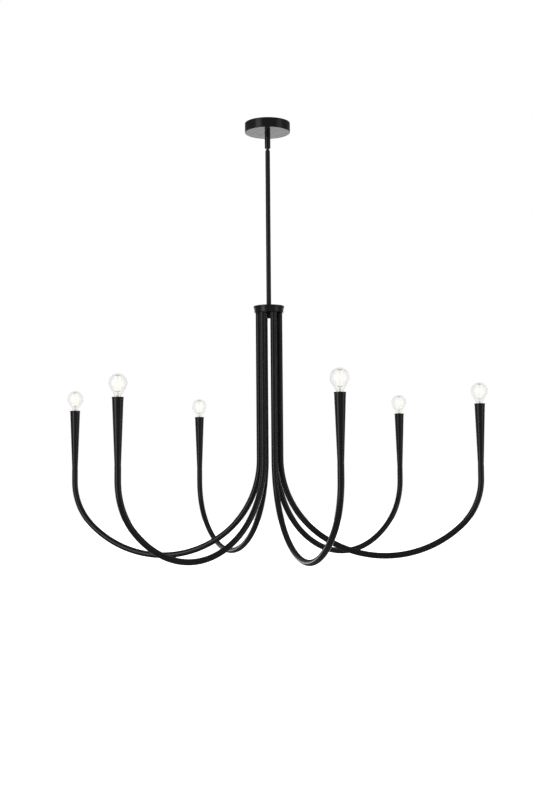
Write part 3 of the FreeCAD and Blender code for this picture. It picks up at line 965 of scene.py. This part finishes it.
soften(globe_blank, 0)
report(globe_blank)

# %% [markdown]
# ### Screw cap
# The cap is thin nickel-plated sheet with a rolled thread, and a button below that meets the lampholder's
# contact. The thread could be screwed as a real helix, but a cap in its holder can't be told from one with
# plain rings of the same pitch, and rings can be turned with the rest in one closed piece.

# %% Turn one cap
rim_z = cup_high.z
cap_skirt = neck_radius + 0.95 * MM
screw_crest = 5.95 * MM
screw_root = 5.35 * MM
screw_halfway = screw_root + 0.3 * MM
screw_low = rim_z - 19 * MM
screw_high = rim_z - 4.5 * MM
button_low = screw_low - 5 * MM
pitch = 2.54 * MM
waves = 5
thread_low = screw_low + 0.8 * MM
skirt_top = rim_z - 0.5 * MM
skirt_bore = neck_radius + 0.05 * MM
skirt_floor = rim_z - 2.1 * MM
thread_wave = []
for k in range(waves):
    start = thread_low + k * pitch
    thread_wave += [
        (screw_root, start),
        (screw_halfway, start + 0.25 * pitch),
        (screw_crest, start + 0.5 * pitch),
        (screw_halfway, start + 0.75 * pitch),
    ]
screw_section = [
    (0, button_low), (1.6 * MM, button_low),
    (2.4 * MM, screw_low - 4.4 * MM), (2.5 * MM, screw_low - 3 * MM),
    (screw_root, screw_low), *thread_wave, (screw_root, screw_high - 0.4 * MM),
    (screw_crest, screw_high), (cap_skirt, screw_high + 0.6 * MM),
    (cap_skirt, skirt_top), (skirt_bore, skirt_top),
    (skirt_bore, skirt_floor), (0, skirt_floor),
]
cap_blank = lathe("cap_blank", closed(screw_section), 64)
soften(cap_blank, 0.12 * MM, 2, 50)

# %% [markdown]
# ### Light strips
# Four slim strips stand in a square inside the globe. Each is a glass sliver in a yellow-white coating with
# rounded ends. One is turned, and a helper copies it to the four corners of the square and joins the copies.

# %% Make one set of strips
strip_circle = 6.7 * MM
first_strip = 35
strip_radius = 1.3 * MM
strip_low = rim_z + 14.5 * MM
strip_high = rim_z + 49.2 * MM
round_end = 0.6 * MM
strip_section = [
    (0, strip_low), (strip_radius - round_end, strip_low),
    *arc(strip_radius - round_end, strip_low + round_end, round_end, -90, 0, 4)[1:],
    *arc(strip_radius - round_end, strip_high - round_end, round_end, 0, 90, 4),
    (0, strip_high),
]


def in_square(blank, name):
    """Four copies of a blank, standing in a square round the middle, joined to one piece."""
    start_clean()
    copies = []
    for k in range(4):
        turn = math.radians(first_strip + 90 * k)
        piece = blank.copy()
        piece.data = blank.data.copy()
        place = Matrix.Translation((strip_circle * math.cos(turn), strip_circle * math.sin(turn), 0))
        piece.data.transform(place @ Matrix.Rotation(turn, 4, "Z"))
        bpy.context.scene.collection.objects.link(piece)
        piece.select_set(True)
        copies.append(piece)
    bpy.context.view_layer.objects.active = copies[0]
    bpy.ops.object.join()
    copies[0].name = name
    bpy.data.objects.remove(blank)
    return copies[0]


strip_one = lathe("strip_one", strip_section, 20)
soften(strip_one, 0)
strips_blank = in_square(strip_one, "strips_blank")
report(strips_blank)

# %% [markdown]
# ### Tabs
# A small metal tab is set into each end of a strip, partly in the coating and partly out, for the wire to be
# welded to. The low tabs are the top ones upside down, so one section serves both.


# %% Make the tabs
def tab_section(end, way):
    """A tab on a strip's end. Way is 1 for a top end and -1 for a low one."""
    section = [
        (0, end - way * 0.8 * MM),
        (0.75 * MM, end - way * 0.8 * MM),
        (0.75 * MM, end + way * 1.0 * MM),
        (0.45 * MM, end + way * 1.4 * MM),
        (0, end + way * 1.4 * MM),
    ]
    return section[::way]


tab_top = in_square(lathe("tab_top", tab_section(strip_high, 1), 16), "tabs_top")
tab_low = in_square(lathe("tab_low", tab_section(strip_low, -1), 16), "tabs_low")

# %% [markdown]
# ### Wires
# A star of four bent wires joins the strips at the top, and another carries them below, where it meets the
# glass stem. A curve would need its ends and its middle patched together. Instead each branch is extruded
# as plain edges from one middle corner, and the Skin modifier wraps them in one closed surface.

# %% Bend the wires
mount_top = rim_z + 12.5 * MM
wire_radius = 0.45 * MM
elbow_out = 0.6
elbow_rise = 0.2


def bent_wires(name, start, branches):
    """Thin round wires that branch out from one point. Each branch is a list of points to bend at."""
    piece = single_point(name, *start)
    for branch in branches:
        pick("verts", lambda p: (p - Vector(start)).length < TINY)
        for here, there in zip([start] + branch, branch):
            push(*(Vector(there) - Vector(here)))
    bpy.ops.object.mode_set(mode="OBJECT")
    # The thickness belongs to each corner, and exists only once the modifier has been added.
    modifier = piece.modifiers.new("skin", "SKIN")
    for corner in piece.data.skin_vertices[0].data:
        corner.radius = (wire_radius, wire_radius)
    piece.data.skin_vertices[0].data[0].use_root = True
    bpy.context.view_layer.objects.active = piece
    bpy.ops.object.modifier_apply(modifier=modifier.name)
    use_modifier(piece, "SUBSURF", levels=1, render_levels=1)
    soften(piece, 0)
    report(piece)
    return piece


def star(name, hub_z, tip_z):
    """Four wires from the middle out to the strips. Each has an elbow, a little over halfway out."""
    branches = []
    elbow_z = hub_z + (tip_z - hub_z) * elbow_rise
    for k in range(4):
        turn = math.radians(first_strip + 90 * k)
        out = Vector((math.cos(turn), math.sin(turn), 0)) * strip_circle
        branches.append([(out.x * elbow_out, out.y * elbow_out, elbow_z), (out.x, out.y, tip_z)])
    return bent_wires(name, (0, 0, hub_z), branches)


star_top = star("star_top", strip_high + 1.9 * MM, strip_high + 0.9 * MM)
star_low = star("star_low", mount_top + 0.2 * MM, strip_low - 0.8 * MM)

# %% Join the tabs and the stars
make_active(tab_top)
for part in (tab_low, star_top, star_low):
    part.select_set(True)
bpy.ops.object.join()
wires_blank = tab_top
wires_blank.name = "wires_blank"
soften(wires_blank, 0)
report(wires_blank)

# %% [markdown]
# ### Bead
# A drop of cement holds the middle of the upper star. It is turned as a slightly flattened ball, pointed
# above and below where the wires leave it.

# %% Turn the bead
bead_middle = strip_high + 1.6 * MM
bead_radius = 2.2 * MM
bead_section = [
    (0, strip_high + 0.4 * MM),
    *arc(0, bead_middle, bead_radius, -35, 40, 6),
    (0, strip_high + 3.0 * MM),
]
bead_blank = lathe("bead_blank", bead_section, 24)
soften(bead_blank, 0)

# %% [markdown]
# ### Glass stem
# The wires stand on a solid glass stem, whose upper part is pinched flat round them while it is hot. It is
# turned round first, and then its upper part is made wider one way and thinner the other.

# %% Turn and pinch the stem
pinch_from = rim_z + 5 * MM
pinch_wide = 1.3
pinch_thin = 0.6
mount_section = [
    (0, rim_z - 2 * MM), (3.0 * MM, rim_z - 2 * MM), (2.6 * MM, rim_z), (2.3 * MM, rim_z + 2.5 * MM),
    (2.1 * MM, rim_z + 6 * MM), (2.1 * MM, rim_z + 11 * MM), (1.7 * MM, rim_z + 12.3 * MM), (0, mount_top),
]
mount_blank = lathe("mount_blank", mount_section, 32)
bpy.ops.object.mode_set(mode="EDIT")
pick("verts", lambda p: p.z > pinch_from)
bpy.ops.transform.resize(value=(pinch_wide, pinch_thin, 1), center_override=(0, 0, mount_top))
bpy.ops.object.mode_set(mode="OBJECT")
soften(mount_blank, 0.3 * MM, 2)

# %% [markdown]
# ### Leads in the stem
# Two coppered leads run up inside the glass to the lower star, and add to the stem's warm colour. They are
# bent from the same kind of skinned edges as the stars.

# %% Run the leads
lead_gap = 0.9 * MM
lead_branches = []
for side in (-lead_gap, lead_gap):
    lead_branches.append([(side, 0, rim_z - MM), (side, 0, rim_z + 10 * MM), (side * 0.5, 0, mount_top)])
leads_blank = bent_wires("leads_blank", (0, 0, rim_z - 1.9 * MM), lead_branches)

# %% [markdown]
# ## Six arms, six candles
# What was made once is copied to the six places, each copy with its own mesh. Everything on an arm rides
# with it, and a bulb rides with its own body, because it unscrews. Where an arm stands comes from its joint,
# and where it points from its cup. The light strips, wires, stems and leads stand square to the room in all
# six bulbs, not to their arms, because a bulb stops turning wherever its thread is tight.


# %% Helpers for the copies
def cup_direction(k):
    """The way an arm points, from its own axis in the hub to the middle of its cup."""
    low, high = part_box(f"candle_cup_{k}")
    out = (low + high) / 2 - arm_axis[f"arm_{k}"]
    return math.atan2(out.y, out.x), out.xy.length


def copy_to(blank, name, place):
    """A copy of a blank with its own mesh, moved to its place in the mesh."""
    piece = blank.copy()
    piece.data = blank.data.copy()
    piece.name = name
    piece.data.name = name
    piece.data.transform(place)
    bpy.context.scene.collection.objects.link(piece)
    return piece


print("arm 1 points", round(math.degrees(cup_direction(1)[0]), 1), "degrees from the X axis")

# %% Copy to the six places
# Each row has the blank, its name, finish, body, slot and CAD piece, and where it is made: on the arm, in
# the cup, or in the cup and square to the room.
blanks = [
    (arm_blank, "arm_pipe", black, "arm", "black_metal", "arm_tube", "on_arm"),
    (cup_blank, "cup_sleeve", black, "arm", "black_metal", "candle_cup", "in_cup"),
    (holder_blank, "bulb_holder", phenolic, "arm", "lampholder_black", "lampholder", "in_cup"),
    (globe_blank, "bulb_globe", glass, "bulb", "clear_glass", "bulb_glass", "in_cup"),
    (cap_blank, "bulb_screw_cap", nickel, "bulb", "bulb_cap_metal", "bulb_cap", "in_cup"),
    (strips_blank, "bulb_strips", strip_light, "bulb", "light_strip", "bulb_filaments", "square"),
    (wires_blank, "bulb_wires", wire_metal, "bulb", "bulb_cap_metal", "bulb_filaments", "square"),
    (bead_blank, "bulb_bead", cement, "bulb", "light_strip", "bulb_filaments", "in_cup"),
    (mount_blank, "bulb_mount", stem_glass, "bulb", "clear_glass", "bulb_filaments", "square"),
    (leads_blank, "bulb_leads", copper, "bulb", "bulb_cap_metal", "bulb_filaments", "square"),
]
for k in ARMS:
    angle, out = cup_direction(k)
    arm_foot = arm_axis[f"arm_{k}"] * Vector((1, 1, 0))
    arm_place = Matrix.Translation(arm_foot) @ Matrix.Rotation(angle, 4, "Z")
    cup_place = arm_place @ Matrix.Translation((out, 0, 0))
    square_place = cup_place @ Matrix.Rotation(-angle, 4, "Z")
    places = {"on_arm": arm_place, "in_cup": cup_place, "square": square_place}
    for blank, name, finish, body, slot, node, where in blanks:
        piece = copy_to(blank, f"{name}_{k}", places[where])
        settle(piece, finish, f"{body}_{k}", slot, f"{node}_{k}")
for row in blanks:
    bpy.data.objects.remove(row[0])
print("arms reach", round(out, 4), "m from their own axes")

# %% [markdown]
# The looks must not change the size. How much the finished model's box grew over the CAD model's box is
# printed.

# %% Print how much the box grew
low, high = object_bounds()
growth = (high - low) - (cad_high - cad_low)
print("box grew by", [round(side / MM, 3) for side in growth], "mm")
